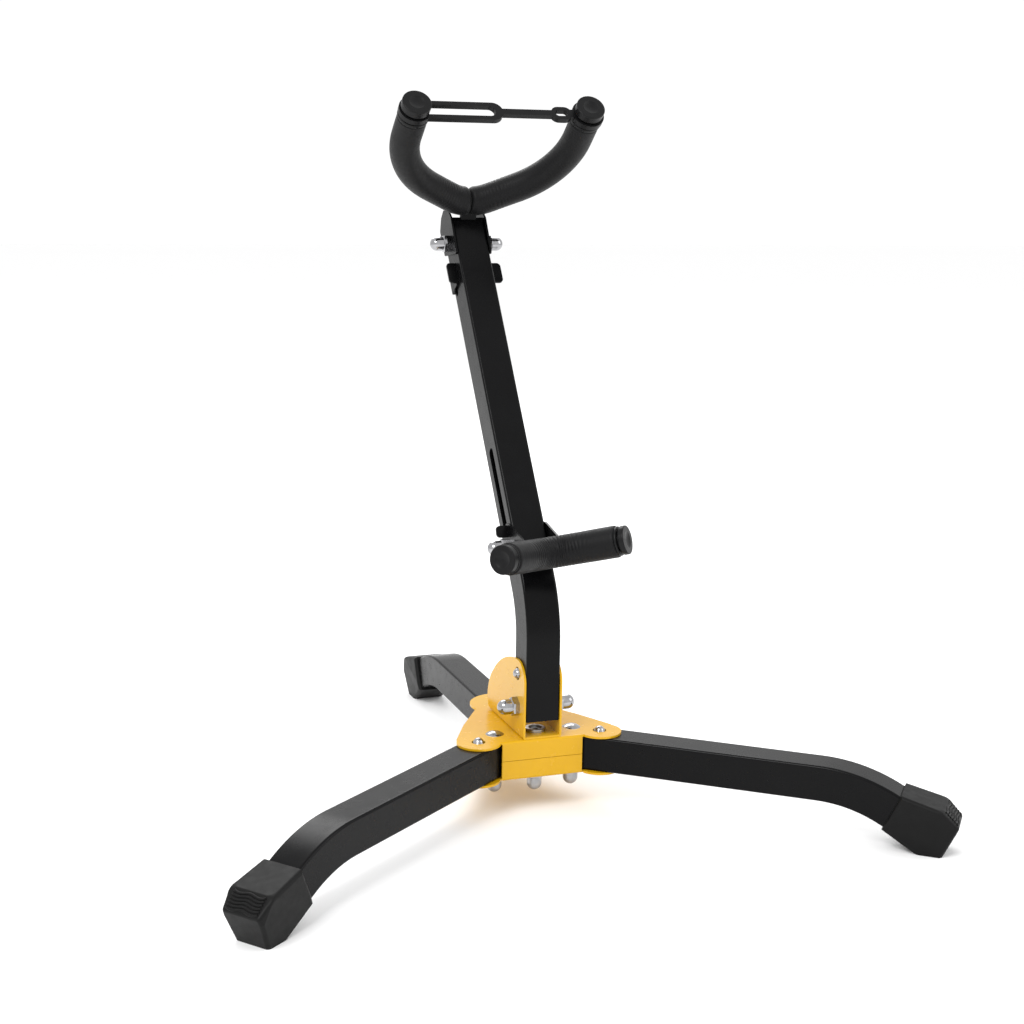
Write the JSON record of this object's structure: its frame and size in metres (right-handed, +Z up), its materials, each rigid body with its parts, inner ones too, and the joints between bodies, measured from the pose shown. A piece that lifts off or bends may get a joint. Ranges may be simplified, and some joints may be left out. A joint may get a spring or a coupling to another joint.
{
  "type": "saxophone stand",
  "caption": "Folding saxophone stand: tripod base, leaning slotted mast, padded U-shaped yoke with a strap at the top and a padded forked rest that slides along the mast.",
  "frame": {"origin": "bottom center of the bounding box, on the floor between the three feet", "axes": "+Z up; -Y is the front, the side the player faces and the two front legs point to; X runs across the stand"},
  "size_m": [0.3312, 0.3116, 0.33],
  "materials": {
    "yellow_coat": "gloss powder coat",
    "black_coat": "satin powder coat",
    "bright_chrome": "polished",
    "zinc": "zinc plated",
    "black_rubber": "matte",
    "cap_rubber": "satin",
    "black_foam": "soft closed-cell foam skin",
    "black_plastic": "moulded"
  },
  "bodies": {
    "hub": {"hub_top_plate": "yellow_coat", "hub_bottom_plate": "yellow_coat", "hub_spacer": "zinc", "center_bolt": "zinc", "leg_pivot_bolts": "bright_chrome", "hub_acorn_nuts": "bright_chrome", "mast_bracket": "yellow_coat", "mast_pivot_bolt": "zinc", "mast_pivot_acorn_nuts": "bright_chrome", "rear_leg": "black_coat", "rear_leg_rivets": "bright_chrome", "rear_foot": "black_rubber"},
    "left_leg": {"left_leg": "black_coat", "left_foot": "black_rubber"},
    "left_leg_button": {"left_leg_snap_button": "bright_chrome"},
    "right_leg": {"right_leg": "black_coat", "right_foot": "black_rubber"},
    "right_leg_button": {"right_leg_snap_button": "bright_chrome"},
    "mast": {"mast": "black_coat", "mast_top_plug": "black_plastic", "yoke_pivot_bolt": "zinc", "yoke_pivot_acorn_nuts": "bright_chrome"},
    "mast_button": {"mast_snap_button": "bright_chrome"},
    "yoke": {"yoke_bracket": "black_coat", "yoke_rod": "zinc", "yoke_foam_left": "black_foam", "yoke_foam_right": "black_foam", "yoke_cap_left": "cap_rubber", "yoke_cap_right": "cap_rubber", "strap": "cap_rubber"},
    "lock_clip": {"lock_clip": "black_coat", "lock_clip_rivets": "bright_chrome"},
    "rest": {"rest_bracket": "black_coat", "rest_rod": "zinc", "rest_foam": "black_foam", "rest_bolt": "zinc", "rest_acorn_nuts": "bright_chrome", "rest_cap_left": "cap_rubber", "rest_cap_right": "cap_rubber"}
  },
  "joints": [
    {"name": "left_leg_fold", "type": "hinge", "parent": "hub", "child": "left_leg", "pos_m": [-0.0192, -0.03472, 0.027], "axis": [0, 0, -1], "range_deg": [0, 127]},
    {"name": "right_leg_fold", "type": "hinge", "parent": "hub", "child": "right_leg", "pos_m": [0.0192, -0.03472, 0.027], "axis": [0, 0, 1], "range_deg": [0, 127]},
    {"name": "mast_fold", "type": "hinge", "parent": "hub", "child": "mast", "pos_m": [0, -0.03752, 0.0498], "axis": [-1, 0, 0], "range_deg": [0, 60]},
    {"name": "yoke_fold", "type": "hinge", "parent": "mast", "child": "yoke", "pos_m": [0, 0.07541, 0.2579], "axis": [-1, 0, 0], "range_deg": [0, 90]},
    {"name": "lock_clip_slide", "type": "slide", "parent": "mast", "child": "lock_clip", "axis": [0, 0.575, 0.8181], "range_m": [-0.01, 0]},
    {"name": "rest_slide", "type": "slide", "parent": "mast", "child": "rest", "axis": [0, 0.575, 0.8181], "range_m": [-0.008, 0.048]},
    {"name": "left_leg_button_press", "type": "slide", "parent": "left_leg", "child": "left_leg_button", "axis": [0, 0, -1], "range_m": [0, 0.0034], "stiffness_N_per_m": 900, "springref_m": -0.002, "deforming": ["left_leg_snap_button"]},
    {"name": "right_leg_button_press", "type": "slide", "parent": "right_leg", "child": "right_leg_button", "axis": [0, 0, -1], "range_m": [0, 0.0034], "stiffness_N_per_m": 900, "springref_m": -0.002, "deforming": ["right_leg_snap_button"]},
    {"name": "mast_button_press", "type": "slide", "parent": "mast", "child": "mast_button", "axis": [1, 0, 0], "range_m": [0, 0.0034], "stiffness_N_per_m": 900, "springref_m": -0.002, "deforming": ["mast_snap_button"]}
  ]
}
